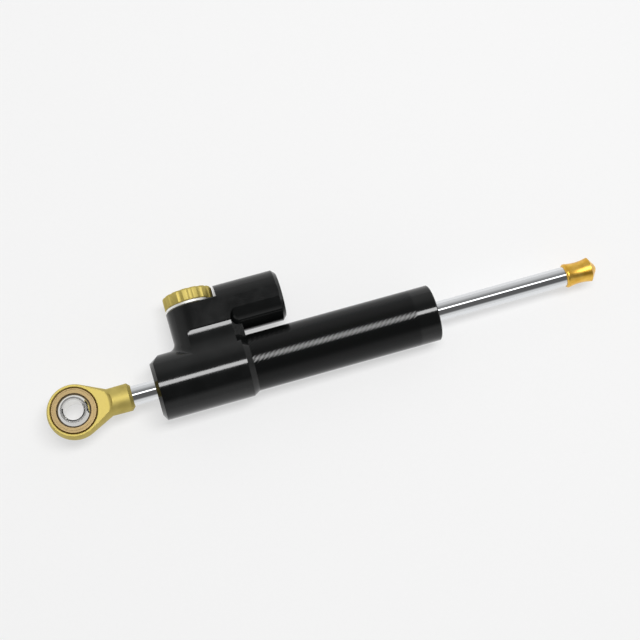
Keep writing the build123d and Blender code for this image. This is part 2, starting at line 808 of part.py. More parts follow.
def index_ring():
    """The pale ring under the knob, dimpled below for the clicks."""
    y0 = seat_y + ring_seat_gap
    y1 = y0 + ring_thickness - seat_gap
    c = edge_break
    points = [(hub_r + seat_gap, y0), (ring_r - c, y0), (ring_r, y0 + c)]
    points += [(ring_r, y1), (hub_r + seat_gap, y1)]
    ring = turned_y(points, knob_x)
    dimple_y = y0 - dimple_r * dimple_sink_share
    for i in range(clicks):
        angle = math.radians(180 + 360 * i / clicks)
        spot = (knob_x + detent_at_r * math.cos(angle), dimple_y, detent_at_r * math.sin(angle))
        ring -= Pos(*spot) * Sphere(dimple_r)
    return ring


def adjuster_knob():
    """The gold knob: fluted rim, hub through the ring, spindle hole and screw recess."""
    y1 = seat_y + ring_seat_gap + ring_thickness
    y2 = knob_top_y
    y0 = seat_y + ring_seat_gap
    e = knob_edge
    u = knob_under_edge
    points = [(0, y0), (hub_r, y0), (hub_r, y1), (knob_r - u, y1), (knob_r, y1 + u)]
    points += [(knob_r, y2 - e), (knob_r - e, y2), (0, y2)]
    knob = turned_y(points, knob_x)
    for i in range(knob_flutes):
        angle = math.radians(360 * (i + flute_phase_share) / knob_flutes)
        reach = knob_r + flute_r - flute_depth
        knob -= rod_y(y1 - seat_gap, y2 + overrun, flute_r, knob_x + reach * math.cos(angle),
                      reach * math.sin(angle))
    y_floor = y2 - screw_recess - screw_head_height - screw_head_gap
    knob -= rod_y(y_floor, y2 + overrun, screw_head_r + screw_head_gap, knob_x)
    hole = rod_y(y0 - overrun, y_floor + seat_gap, spindle_r + seat_gap, knob_x)
    hole -= block(knob_x + drive_flat + seat_gap, knob_x + spindle_r + overrun, drive_y, y2,
                  -spindle_r, spindle_r)
    return knob - hole


def hex_socket_y(flats, y_floor, y_top, x):
    """A hexagon socket along Y, as a tool."""
    outline = RegularPolygon(flats / 2, 6, major_radius=False)
    plane = Plane(origin=(x, y_floor, 0), z_dir=(0, 1, 0))
    return extrude(plane * outline, y_top - y_floor)


def knob_screw():
    """The socket screw that holds the knob on the spindle."""
    y0 = knob_top_y - screw_recess - screw_head_height
    y1 = y0 + screw_head_height
    y_tip = y0 - screw_head_gap - screw_length + edge_break
    c = edge_break
    points = [(0, y_tip), (screw_r - c, y_tip), (screw_r, y_tip + c), (screw_r, y0)]
    points += [(screw_head_r, y0), (screw_head_r, y1 - c), (screw_head_r - c, y1), (0, y1)]
    screw = turned_y(points, knob_x)
    return screw - hex_socket_y(screw_socket_flats, y1 - screw_socket_depth, y1 + overrun, knob_x)


def detent_ball():
    """The ball that clicks along the index ring's dimples."""
    top = seat_y + detent_proud
    return Pos(knob_x - detent_at_r, top - detent_r, 0) * Sphere(detent_r)


def detent_spring():
    """The small spring under the click ball."""
    y0 = seat_y - detent_hole_depth + face_gap
    y1 = seat_y + detent_proud - 2 * detent_r - face_gap
    r_mid = detent_r - detent_spring_wire / 2
    coil = helix_spring(0, y1 - y0, r_mid, detent_spring_wire, detent_spring_turns)
    return Pos(knob_x - detent_at_r, y0, 0) * Rot(0, 0, 90) * coil


def relief_piston():
    """The sprung piston: a nose clear of the oilway on the left, a spring cup on the right."""
    x0 = relief_x
    x1 = x0 + relief_length
    x_land = x0 + relief_nose_length
    x_cup = x1 - relief_cup_depth
    r = relief_bore_r - run_gap
    c = edge_break
    points = [(x0, 0), (x0, relief_nose_r - c), (x0 + c, relief_nose_r), (x_land, relief_nose_r)]
    points += [(x_land, r - c), (x_land + c, r), (x1 - c, r), (x1, r - c)]
    points += [(x1, relief_cup_r), (x_cup, relief_cup_r), (x_cup, 0)]
    body = turned_x(points) - small_ring_groove_x(relief_ring_x, r)
    return Pos(0, side_y, 0) * body


def small_ring_groove_x(x, r_seat):
    """A small O-ring's groove round an X axis, as a tool."""
    half = small_groove_width / 2
    r_floor = r_seat - small_section - 2 * ring_gap
    points = [(x - half, r_floor), (x + half, r_floor)]
    points += [(x + half, r_seat + overrun), (x - half, r_seat + overrun)]
    return turned_x(points)


def relief_piston_o_ring():
    """The relief piston's O-ring."""
    r_mid = relief_bore_r - ring_gap - small_section / 2
    return Pos(relief_ring_x, side_y, 0) * Rot(0, 90, 0) * Torus(r_mid, small_section / 2)


def relief_spring():
    """The relief spring, between the two cups."""
    x0 = relief_x + relief_length - relief_cup_depth + face_gap
    x1 = plug_x + plug_cup_depth - face_gap
    return Pos(0, side_y, 0) * helix_spring(x0, x1, spring_r, spring_wire, spring_turns)


def relief_plug():
    """The plug that closes the side cylinder, with the bleed screw's seat."""
    x0 = plug_x
    x1 = plug_x + plug_length
    r = relief_bore_r - seat_gap
    c = edge_break
    x_cup = x0 + plug_cup_depth
    x_recess = x1 - plug_recess_depth
    points = [(x0, relief_cup_r), (x0, r - c), (x0 + c, r), (x1 - c, r), (x1, r - c)]
    points += [(x1, plug_recess_r), (x_recess, plug_recess_r), (x_recess, bleed_r + seat_gap)]
    points += [(x_cup, bleed_r + seat_gap), (x_cup, relief_cup_r)]
    plug = turned_x(points) - small_ring_groove_x(x0 + plug_ring_from_front, r)
    return Pos(0, side_y, 0) * plug


def relief_plug_o_ring():
    """The plug's O-ring."""
    r_mid = relief_bore_r - ring_gap - small_section / 2
    x = plug_x + plug_ring_from_front
    return Pos(x, side_y, 0) * Rot(0, 90, 0) * Torus(r_mid, small_section / 2)


def bleed_screw():
    """The bleed screw in the plug's recess, with a hexagon socket."""
    x_seat = plug_x + plug_length - plug_recess_depth + washer_thickness + 2 * seat_gap
    x_tip = plug_x + plug_cup_depth + bleed_tip_gap
    x_top = x_seat + bleed_head_height
    c = edge_break
    points = [(x_tip, 0), (x_tip, bleed_r - c), (x_tip + c, bleed_r), (x_seat, bleed_r)]
    points += [(x_seat, bleed_head_r), (x_top - c, bleed_head_r), (x_top, bleed_head_r - c)]
    points += [(x_top, 0)]
    screw = turned_x(points)
    plane = Plane(origin=(x_top - bleed_socket_depth, 0, 0), z_dir=(1, 0, 0))
    socket = plane * RegularPolygon(bleed_socket_flats / 2, 6, major_radius=False)
    screw -= extrude(socket, bleed_socket_depth + overrun)
    return Pos(0, side_y, 0) * screw


def bleed_washer():
    """The flat sealing washer under the bleed screw's head."""
    x0 = plug_x + plug_length - plug_recess_depth + seat_gap
    ring = rod_x(x0, x0 + washer_thickness, washer_r, side_y)
    return ring - rod_x(x0 - overrun, x0 + overrun, bleed_r + seat_gap, side_y)


def tube_o_ring():
    """The O-ring between the tube's spigot and the head block."""
    r_mid = spigot_r + seat_gap + ring_gap + o_ring_r
    return Pos(spigot_ring_x, 0, 0) * Rot(0, 90, 0) * Torus(r_mid, o_ring_r)


def write_parts():
    """Writes one STEP file for each piece."""
    pieces = {
        "rod_end_housing": rod_end_housing(),
        "bearing_race": bearing_race(),
        "bearing_ball": bearing_ball(),
        "piston_rod": piston_rod(),
        "end_cap": end_cap(),
        "head_block": head_block(),
        "cylinder_tube": cylinder_tube(),
        "tube_o_ring": tube_o_ring(),
        "front_guide": at_front(guide_blank()),
        "front_bush": at_front(bush_blank()),
        "front_rod_seal": at_front(seal_blank()),
        "front_wiper": at_front(wiper_blank()),
        "front_guide_o_ring": at_front(guide_o_ring()),
        "front_circlip": bore_clip_x(head_x + clip_recess, guide_bore_r),
        "rear_guide": at_rear(guide_blank()),
        "rear_bush": at_rear(bush_blank()),
        "rear_rod_seal": at_rear(seal_blank()),
        "rear_wiper": at_rear(wiper_blank()),
        "rear_guide_o_ring": at_rear(guide_o_ring()),
        "rear_circlip": bore_clip_x(tube_end_x - clip_recess - clip_thickness, guide_bore_r),
        "piston": piston(),
        "piston_band": piston_band(),
        "piston_circlips": piston_circlips(),
        "adjuster_spindle": adjuster_spindle(),
        "spindle_o_rings": spindle_o_rings(),
        "adjuster_gland": adjuster_gland(),
        "gland_o_ring": gland_o_ring(),
        "index_ring": index_ring(),
        "adjuster_knob": adjuster_knob(),
        "knob_screw": knob_screw(),
        "detent_ball": detent_ball(),
        "detent_spring": detent_spring(),
        "relief_piston": relief_piston(),
        "relief_piston_o_ring": relief_piston_o_ring(),
        "relief_spring": relief_spring(),
        "relief_plug": relief_plug(),
        "relief_plug_o_ring": relief_plug_o_ring(),
        "relief_circlip": bore_clip_x(relief_clip_x, relief_bore_r, side_y),
        "bleed_screw": bleed_screw(),
        "bleed_washer": bleed_washer(),
    }
    os.makedirs("parts", exist_ok=True)
    for name, piece in pieces.items():
        solids = piece if isinstance(piece, list) else [piece]
        shape = Compound(children=solids) if len(solids) > 1 else solids[0]
        export_step(shape, f"parts/{name}.step")
    print(f"rod travel: {-travel_left:.2f} to {travel_right:.2f} mm")


write_parts()
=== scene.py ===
import math

import bmesh
import bpy
from mathutils import Matrix, Vector


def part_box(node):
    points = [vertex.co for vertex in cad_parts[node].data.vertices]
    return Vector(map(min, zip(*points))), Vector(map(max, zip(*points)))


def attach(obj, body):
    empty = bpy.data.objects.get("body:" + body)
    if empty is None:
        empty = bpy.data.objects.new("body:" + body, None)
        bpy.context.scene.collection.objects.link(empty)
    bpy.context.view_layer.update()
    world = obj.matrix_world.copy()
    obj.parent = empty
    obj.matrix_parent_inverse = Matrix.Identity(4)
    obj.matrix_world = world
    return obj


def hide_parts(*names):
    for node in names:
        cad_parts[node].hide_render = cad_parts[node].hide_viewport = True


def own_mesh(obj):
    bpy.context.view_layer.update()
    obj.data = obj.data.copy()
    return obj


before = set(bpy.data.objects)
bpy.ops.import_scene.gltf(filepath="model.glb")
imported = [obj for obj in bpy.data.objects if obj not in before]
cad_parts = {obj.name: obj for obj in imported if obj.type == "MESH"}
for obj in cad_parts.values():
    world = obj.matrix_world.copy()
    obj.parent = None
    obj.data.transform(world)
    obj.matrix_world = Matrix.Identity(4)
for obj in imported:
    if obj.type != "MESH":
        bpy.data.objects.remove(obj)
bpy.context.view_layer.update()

MM = 0.001

# Camera: the photograph looks almost straight down on the damper, which lies on its side,
# with the rod running up to the right. Places are millimetres in the part's own frame.
photo_px = 640
lens_px = 1481.0
camera_at = Vector((33.3, -106.7, 580.7))
camera_target = Vector((103.5, 9.5, 0.0))
camera_roll = math.radians(-16.77)
sensor_mm = 36.0

forward = (camera_target - camera_at).normalized()
right = forward.cross(Vector((0, 1, 0))).normalized()
up = right.cross(forward)
turned_right = math.cos(camera_roll) * right + math.sin(camera_roll) * up
turned_up = -math.sin(camera_roll) * right + math.cos(camera_roll) * up
camera_data = bpy.data.cameras.new("photo_camera")
camera_data.sensor_width = sensor_mm
camera_data.lens = lens_px / photo_px * sensor_mm
camera_data.clip_start = 0.01
camera_data.clip_end = 20.0
camera = bpy.data.objects.new("photo_camera", camera_data)
bpy.context.collection.objects.link(camera)
axes = Matrix((turned_right, turned_up, -forward)).transposed().to_4x4()
camera.matrix_world = Matrix.Translation(camera_at * MM) @ axes
bpy.context.scene.camera = camera


# Floor: a sheet of matt white photographic board. Head block, tube end and the knob's far rim rest
# on it, so it tilts a few degrees to the rod. To the camera and in mirrors it glows a little, as an
# overexposed ground does, keeps a faint soft shadow and runs out into plain white.
floor_tilt = math.radians(5.4)
floor_pitch = math.radians(-1.1)
floor_touch = Vector((85.0, -1.1, -12.9))
floor_half = 2600.0
board_light = "F5F5F5"
board_dark = "F0F0F0"
overexposed = "F4F4F4"
board_fibre = 1.2
board_glow = 0.62
damper_middle = Vector((100.0, 0.0, 0.0))
white_from = 300.0
white_at = 1300.0


def linear(hex_colour):
    """Turns an sRGB hex colour into the linear RGBA that a shader takes."""
    channels = [int(hex_colour[i:i + 2], 16) / 255 for i in (0, 2, 4)]
    return [c / 12.92 if c <= 0.04045 else ((c + 0.055) / 1.055) ** 2.4 for c in channels] + [1.0]


def add(tree, kind, links=(), values=(), stops=(), **settings):
    """Adds a node, sets its properties, inputs and colour stops, and links inputs to outputs."""
    node = tree.nodes.new(kind)
    for name, value in settings.items():
        if hasattr(node, name):
            setattr(node, name, value)
        else:
            node.inputs[name.replace("_", " ")].default_value = value
    for name, value in dict(values).items():
        node.inputs[name].default_value = value
    for _ in stops[2:]:
        node.color_ramp.elements.new(0.5)
    for index, (position, colour) in enumerate(stops):
        node.color_ramp.elements[index].position = position
        node.color_ramp.elements[index].color = linear(colour)
    for name, source in dict(links).items():
        tree.links.new(source, node.inputs[name])
    return node


def surface(name):
    """A new empty material; returns it and its node tree."""
    material = bpy.data.materials.new(name)
    material.use_nodes = True
    material.node_tree.nodes.clear()
    return material, material.node_tree


floor_normal = Vector((math.sin(floor_pitch), -math.sin(floor_tilt), 1.0)).normalized()
across = (Vector((1, 0, 0)) - floor_normal * floor_normal.x).normalized()
along = floor_normal.cross(across)
corners = [(floor_touch + floor_half * (i * across + j * along)) * MM
           for i, j in ((-1, -1), (1, -1), (1, 1), (-1, 1))]
floor_mesh = bpy.data.meshes.new("floor_board")
floor_mesh.from_pydata(corners, [], [(0, 1, 2, 3)])
floor = bpy.data.objects.new("floor_board", floor_mesh)
bpy.context.collection.objects.link(floor)

board, tree = surface("matt white photo board")
place = add(tree, "ShaderNodeTexCoord")
fibre = add(tree, "ShaderNodeTexNoise", links={"Vector": place.outputs["Object"]},
            Scale=1 / (board_fibre * MM), Detail=2.0)
tone = add(tree, "ShaderNodeValToRGB", links={"Fac": fibre.outputs[0]},
           stops=((0.0, board_dark), (1.0, board_light)))
face = add(tree, "ShaderNodeBsdfPrincipled", links={"Base Color": tone.outputs[0]},
           Roughness=0.85, Specular_IOR_Level=0.2)
glow = add(tree, "ShaderNodeEmission", Color=linear(overexposed), Strength=1.0)
ray = add(tree, "ShaderNodeLightPath")
distance = add(tree, "ShaderNodeVectorMath", links={0: place.outputs["Object"]},
               values={1: damper_middle * MM}, operation="DISTANCE")
whiter = add(tree, "ShaderNodeMapRange", links={"Value": distance.outputs["Value"]},
             From_Min=white_from * MM, From_Max=white_at * MM, To_Min=board_glow, To_Max=1.0)
seen_or_mirrored = add(tree, "ShaderNodeMath",
                       links={0: ray.outputs["Is Camera Ray"], 1: ray.outputs["Is Glossy Ray"]},
                       operation="MAXIMUM")
glow_share = add(tree, "ShaderNodeMath",
                 links={0: seen_or_mirrored.outputs[0], 1: whiter.outputs[0]},
                 operation="MULTIPLY")
shown = add(tree, "ShaderNodeMixShader",
            links={0: glow_share.outputs[0], 1: face.outputs[0], 2: glow.outputs[0]})
add(tree, "ShaderNodeOutputMaterial", links={"Surface": shown.outputs[0]})
floor_mesh.materials.append(board)

# Light: one long softbox overhead, along the rod. It is the narrow light line on head block and
# tube. The room is white low down all round, and higher up dark on the viewer's side of the damper
# and grey beyond it.
softbox_height = 1050.0
softbox_middle = Vector((230.0, 32.0, 0.0))
softbox_length = 640.0
softbox_width = 240.0
softbox_power = 8.8
mirror_cap = 2.0
side_change = 0.12
viewer_tones = ((0.0, "E4E4E4"), (0.28, "DEDEDE"), (0.44, "A4A4A4"),
                (0.56, "646464"), (1.0, "5E5E5E"))
far_tones = ((0.0, "DEDEDE"), (0.44, "D8D8D8"), (0.66, "C4C4C4"),
             (0.84, "929292"), (1.0, "7C7C7C"))

softbox_data = bpy.data.lights.new("softbox", "AREA")
softbox_data.shape = "RECTANGLE"
softbox_data.size = softbox_length * MM
softbox_data.size_y = softbox_width * MM
softbox_data.energy = softbox_power
softbox = bpy.data.objects.new("softbox", softbox_data)
softbox.location = (softbox_middle + Vector((0, 0, softbox_height))) * MM
bpy.context.collection.objects.link(softbox)

room = bpy.data.worlds.new("white studio")
bpy.context.scene.world = room
room.use_nodes = True
tree = room.node_tree
tree.nodes.clear()
place = add(tree, "ShaderNodeTexCoord")
split = add(tree, "ShaderNodeSeparateXYZ", links={"Vector": place.outputs["Generated"]})
viewer_side, far_side = (add(tree, "ShaderNodeValToRGB", links={"Fac": split.outputs["Z"]},
                             stops=tones) for tones in (viewer_tones, far_tones))
far_share = add(tree, "ShaderNodeMapRange", links={"Value": split.outputs["Y"]},
                From_Min=-side_change, From_Max=side_change, interpolation_type="SMOOTHSTEP")
# A mix node's inputs 6 and 7 and its output 2 are the ones for colours.
walls = add(tree, "ShaderNodeMix", data_type="RGBA",
            links={0: far_share.outputs[0], 6: viewer_side.outputs[0], 7: far_side.outputs[0]})
light = add(tree, "ShaderNodeBackground", links={"Color": walls.outputs[2]}, Strength=1.0)
backdrop = add(tree, "ShaderNodeBackground", Color=linear(overexposed), Strength=1.0)
ray = add(tree, "ShaderNodeLightPath")
shown = add(tree, "ShaderNodeMixShader",
            links={0: ray.outputs["Is Camera Ray"], 1: light.outputs[0], 2: backdrop.outputs[0]})
add(tree, "ShaderNodeOutputWorld", links={"Surface": shown.outputs[0]})

# The softbox is far brighter than white, so its mirror image in chrome is capped before a pixel's
# samples are averaged, or the image's edge would turn into steps.
bpy.context.scene.cycles.sample_clamp_direct = mirror_cap
bpy.context.scene.view_settings.view_transform = "Standard"


# Rod end: an eye on a short round shank, milled from aluminium bar, bead blasted all over, then
# anodised in a pale yellow gold. Blasting leaves a fine even grain and a soft spread highlight.
# Grit of 0.15 mm is too fine to show, so the grain is drawn at 0.45 mm.
gold_light = "D1C174"
gold_dark = "BCAB5F"
gold_grain = 0.45
gold_grain_depth = 0.02
gold_cloud = 5.0
gold_smooth = 0.58
gold_rough = 0.68

# A noise texture's values lie mostly between these two.
noise_low = 0.3
noise_high = 0.7

gold, tree = surface("gold anodised aluminium, bead blasted")
place = add(tree, "ShaderNodeTexCoord")
cloud = add(tree, "ShaderNodeTexNoise", links={"Vector": place.outputs["Object"]},
            Scale=1 / (gold_cloud * MM), Detail=4.0, Roughness=0.6)
tone = add(tree, "ShaderNodeValToRGB", links={"Fac": cloud.outputs[0]},
           stops=((0.3, gold_dark), (0.7, gold_light)))
grain = add(tree, "ShaderNodeTexNoise", links={"Vector": place.outputs["Object"]},
            Scale=1 / (gold_grain * MM), Detail=2.0)
bump = add(tree, "ShaderNodeBump", links={"Height": grain.outputs[0]},
           Strength=1.0, Distance=gold_grain_depth * MM)
polish = add(tree, "ShaderNodeMapRange", links={"Value": cloud.outputs[0]},
             From_Min=noise_low, From_Max=noise_high,
             To_Min=gold_smooth, To_Max=gold_rough)
face = add(tree, "ShaderNodeBsdfPrincipled",
           links={"Base Color": tone.outputs[0], "Roughness": polish.outputs[0],
                  "Normal": bump.outputs[0]}, Metallic=1.0)
add(tree, "ShaderNodeOutputMaterial", links={"Surface": face.outputs[0]})


def dress(material, *nodes):
    """Gives CAD nodes their material."""
    for node in nodes:
        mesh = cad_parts[node].data
        mesh.materials.clear()
        mesh.materials.append(material)


dress(gold, "rod_end_housing")

# Bearing race: the plain bearing's outer ring, turned in bronze and staked into the eye. Its flat
# face is a warm brown metal. Painted shade darkens it next to the ball, out to 0.75 of the race's
# radius, for the shadow in the gap, and oil darkens the joint to the eye from 0.97 on.
race_flat = "867453"
race_edge = "5A3C14"
race_gap_shade = "2A2119"
race_rings = 0.4
race_ring_depth = 0.004
gap_shade_to = 0.75
oil_from = 0.97
blend = 0.015


def wave_scale(pitch):
    """The scale that sets a wave texture's bands this many millimetres apart."""
    radians_per_metre = 20
    return math.tau / radians_per_metre / (pitch * MM)


bronze, tree = surface("turned bearing bronze with painted gap shade")
place = add(tree, "ShaderNodeTexCoord")
level = add(tree, "ShaderNodeVectorMath", links={0: place.outputs["Object"]},
            values={1: (1.0, 1.0, 0.0)}, operation="MULTIPLY")
radius = add(tree, "ShaderNodeVectorMath", links={0: level.outputs[0]}, operation="LENGTH")
race_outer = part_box("bearing_race")[1].x
radius_share = add(tree, "ShaderNodeMath", links={0: radius.outputs["Value"]},
                   values={1: race_outer}, operation="DIVIDE")
# The first stop is painted shade: the race turns dark next to the ball, where the gap lies in
# shadow.
tone = add(tree, "ShaderNodeValToRGB", links={"Fac": radius_share.outputs[0]},
           stops=((gap_shade_to - blend, race_gap_shade), (gap_shade_to + blend, race_flat),
                  (oil_from - blend, race_flat), (oil_from + blend, race_edge)))
rings = add(tree, "ShaderNodeTexWave", links={"Vector": level.outputs[0]}, wave_type="RINGS",
            rings_direction="SPHERICAL", Scale=wave_scale(race_rings), Detail=1.0)
bump = add(tree, "ShaderNodeBump", links={"Height": rings.outputs["Fac"]},
           Strength=1.0, Distance=race_ring_depth * MM)
face = add(tree, "ShaderNodeBsdfPrincipled",
           links={"Base Color": tone.outputs[0], "Normal": bump.outputs[0]},
           Metallic=1.0, Roughness=0.45)
add(tree, "ShaderNodeOutputMaterial", links={"Surface": face.outputs[0]})
dress(bronze, "bearing_race")

# Bearing ball: hardened chrome steel, ground and polished to a mirror, with a bored hole for the
# bolt. Lapping leaves it a little duller in fine patches.
ball_tone = "E2E1DE"
lapping = 0.5
ball_smooth = 0.08
ball_rough = 0.09

polished, tree = surface("polished bearing steel")
place = add(tree, "ShaderNodeTexCoord")
marks = add(tree, "ShaderNodeTexNoise", links={"Vector": place.outputs["Object"]},
            Scale=1 / (lapping * MM), Detail=3.0)
polish = add(tree, "ShaderNodeMapRange", links={"Value": marks.outputs[0]},
             From_Min=noise_low, From_Max=noise_high,
             To_Min=ball_smooth, To_Max=ball_rough)
face = add(tree, "ShaderNodeBsdfPrincipled", links={"Roughness": polish.outputs[0]},
           Base_Color=linear(ball_tone), Metallic=1.0)
add(tree, "ShaderNodeOutputMaterial", links={"Surface": face.outputs[0]})
dress(polished, "bearing_ball")

# Piston rod: steel bar, hard chromed and centreless ground. It mirrors the room as long lines
# along the rod. The grinding lines run round it; 0.05 mm is too fine, so they stand 0.6 mm apart.
chrome_tone = "E6E8EA"
grinding = 0.6
grinding_depth = 0.00008
chrome_smooth = 0.04
chrome_rough = 0.06

chrome, tree = surface("hard chrome on ground steel")
place = add(tree, "ShaderNodeTexCoord")
lines = add(tree, "ShaderNodeTexWave", links={"Vector": place.outputs["Object"]},
            bands_direction="X", Scale=wave_scale(grinding), Distortion=1.0,
            Detail=1.0)
bump = add(tree, "ShaderNodeBump", links={"Height": lines.outputs["Fac"]},
           Strength=1.0, Distance=grinding_depth * MM)
polish = add(tree, "ShaderNodeMapRange", links={"Value": lines.outputs["Fac"]},
             To_Min=chrome_smooth, To_Max=chrome_rough)
face = add(tree, "ShaderNodeBsdfPrincipled",
           links={"Roughness": polish.outputs[0], "Normal": bump.outputs[0]},
           Base_Color=linear(chrome_tone), Metallic=1.0)
add(tree, "ShaderNodeOutputMaterial", links={"Surface": face.outputs[0]})
dress(chrome, "piston_rod")

# Head block: machined from one aluminium billet and hard anodised black. The oxide is a hard
# glassy skin, near black, that shows pale surroundings only at a slant. Handling leaves it a
# little duller in patches.
black_skin = "0B0C0C"
black_worn = "141515"
handling = 9.0
skin_grain = 0.5
skin_grain_depth = 0.0008
skin_smooth = 0.09
skin_rough = 0.14
skin_ior = 1.4

skin, tree = surface("black hard anodised aluminium, milled")
place = add(tree, "ShaderNodeTexCoord")
patches = add(tree, "ShaderNodeTexNoise", links={"Vector": place.outputs["Object"]},
              Scale=1 / (handling * MM), Detail=5.0, Roughness=0.6)
tone = add(tree, "ShaderNodeValToRGB", links={"Fac": patches.outputs[0]},
           stops=((0.35, black_skin), (0.75, black_worn)))
grain = add(tree, "ShaderNodeTexNoise", links={"Vector": place.outputs["Object"]},
            Scale=1 / (skin_grain * MM), Detail=2.0)
bump = add(tree, "ShaderNodeBump", links={"Height": grain.outputs[0]},
           Strength=1.0, Distance=skin_grain_depth * MM)
polish = add(tree, "ShaderNodeMapRange", links={"Value": patches.outputs[0]},
             From_Min=noise_low, From_Max=noise_high,
             To_Min=skin_smooth, To_Max=skin_rough)
face = add(tree, "ShaderNodeBsdfPrincipled",
           links={"Base Color": tone.outputs[0], "Roughness": polish.outputs[0],
                  "Normal": bump.outputs[0]}, IOR=skin_ior)
add(tree, "ShaderNodeOutputMaterial", links={"Surface": face.outputs[0]})
dress(skin, "head_block")

# Tube: turned from aluminium bar, hard anodised black like the head block. The lathe left long
# slanting marks, dull strokes between bright ones, that cut the light line into a rope. They are
# 1.5 mm apart and drawn at 2 mm, so that they show. The last stretch is turned smooth.
tube_skin = "0C0D0D"
stroke_pitch = 2.0
strokes_round = 60
stroke_depth = 0.0115
brightest_stroke = -0.6
dullest_stroke = 0.4
least_dull = 0.4
tube_smooth = 0.1
tube_rough = 0.12
bright_sheen = 0.5
dull_sheen = 0.24
smooth_length = 8.7
smooth_edge = 0.2

smooth_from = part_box("cylinder_tube")[1].x / MM - smooth_length
rope, tree = surface("black hard anodised aluminium, turned")
place = add(tree, "ShaderNodeTexCoord")
split = add(tree, "ShaderNodeSeparateXYZ", links={"Vector": place.outputs["Object"]})
along_tube = add(tree, "ShaderNodeMath", links={0: split.outputs["X"]},
                 values={1: math.tau / (stroke_pitch * MM)}, operation="MULTIPLY")
angle = add(tree, "ShaderNodeMath", links={0: split.outputs["Y"], 1: split.outputs["Z"]},
            operation="ARCTAN2")
round_tube = add(tree, "ShaderNodeMath", links={0: angle.outputs[0]},
                 values={1: strokes_round}, operation="MULTIPLY")
phase = add(tree, "ShaderNodeMath", links={0: along_tube.outputs[0], 1: round_tube.outputs[0]},
            operation="SUBTRACT")
stroke = add(tree, "ShaderNodeMath", links={0: phase.outputs[0]}, operation="SINE")
turned = add(tree, "ShaderNodeMapRange", links={"Value": split.outputs["X"]},
             From_Min=(smooth_from - smooth_edge) * MM, From_Max=(smooth_from + smooth_edge) * MM,
             To_Min=1.0, To_Max=0.0)
marks = add(tree, "ShaderNodeMath", links={0: stroke.outputs[0], 1: turned.outputs[0]},
            operation="MULTIPLY")
bump = add(tree, "ShaderNodeBump", links={"Height": marks.outputs[0]},
           Strength=1.0, Distance=stroke_depth * MM)
dull = add(tree, "ShaderNodeMapRange", links={"Value": stroke.outputs[0]},
           From_Min=brightest_stroke, From_Max=dullest_stroke, To_Min=least_dull, To_Max=1.0)
dull_marks = add(tree, "ShaderNodeMath", links={0: dull.outputs[0], 1: turned.outputs[0]},
                 operation="MULTIPLY")
polish = add(tree, "ShaderNodeMapRange", links={"Value": dull_marks.outputs[0]},
             To_Min=tube_smooth, To_Max=tube_rough)
sheen = add(tree, "ShaderNodeMapRange", links={"Value": dull_marks.outputs[0]},
            To_Min=bright_sheen, To_Max=dull_sheen)
face = add(tree, "ShaderNodeBsdfPrincipled",
           links={"Roughness": polish.outputs[0], "Specular IOR Level": sheen.outputs[0],
                  "Normal": bump.outputs[0]}, Base_Color=linear(tube_skin), IOR=skin_ior)
add(tree, "ShaderNodeOutputMaterial", links={"Surface": face.outputs[0]})
dress(rope, "cylinder_tube")

# Rod guides: turned aluminium plugs, one in the head block and one in the tube, left as machined,
# so rings of tool marks run round their faces.
guide_tone = "D5D6D2"
turning = 0.35
turning_depth = 0.004
guide_mottle = 2.0
guide_smooth = 0.3
guide_rough = 0.42

plain, tree = surface("turned aluminium, as machined")
place = add(tree, "ShaderNodeTexCoord")
lines = add(tree, "ShaderNodeTexWave", links={"Vector": place.outputs["Object"]},
            bands_direction="X", Scale=wave_scale(turning), Distortion=0.6)
bump = add(tree, "ShaderNodeBump", links={"Height": lines.outputs["Fac"]},
           Strength=1.0, Distance=turning_depth * MM)
mottle = add(tree, "ShaderNodeTexNoise", links={"Vector": place.outputs["Object"]},
             Scale=1 / (guide_mottle * MM), Detail=4.0)
polish = add(tree, "ShaderNodeMapRange", links={"Value": mottle.outputs[0]},
             From_Min=noise_low, From_Max=noise_high,
             To_Min=guide_smooth, To_Max=guide_rough)
face = add(tree, "ShaderNodeBsdfPrincipled",
           links={"Roughness": polish.outputs[0], "Normal": bump.outputs[0]},
           Base_Color=linear(guide_tone), Metallic=1.0)
add(tree, "ShaderNodeOutputMaterial", links={"Surface": face.outputs[0]})
dress(plain, "front_guide", "rear_guide")

# Bushes: porous sintered bronze that carries the rod inside each guide. Oil fills the pores, so
# it is a dull brown metal with dark specks.
bush_tone = "A57842"
pore_tone = "4A3218"
pore = 0.3
pore_depth = 0.01

sintered, tree = surface("oil filled sintered bronze")
place = add(tree, "ShaderNodeTexCoord")
pores = add(tree, "ShaderNodeTexVoronoi", links={"Vector": place.outputs["Object"]},
            Scale=1 / (pore * MM))
tone = add(tree, "ShaderNodeValToRGB", links={"Fac": pores.outputs["Distance"]},
           stops=((0.12, pore_tone), (0.32, bush_tone)))
bump = add(tree, "ShaderNodeBump", links={"Height": pores.outputs["Distance"]},
           Strength=0.6, Distance=pore_depth * MM)
face = add(tree, "ShaderNodeBsdfPrincipled",
           links={"Base Color": tone.outputs[0], "Normal": bump.outputs[0]},
           Metallic=1.0, Roughness=0.5)
add(tree, "ShaderNodeOutputMaterial", links={"Surface": face.outputs[0]})
dress(sintered, "front_bush", "rear_bush")

# Seals: moulded nitrile rubber. The rod seals, the wipers and every O-ring are the same soft
# black, with a dull sheen of oil and a fine mould grain.
rubber_tone = "161616"
rubber_bloom = "222221"
bloom_size = 1.6
mould_grain = 0.25
mould_depth = 0.008

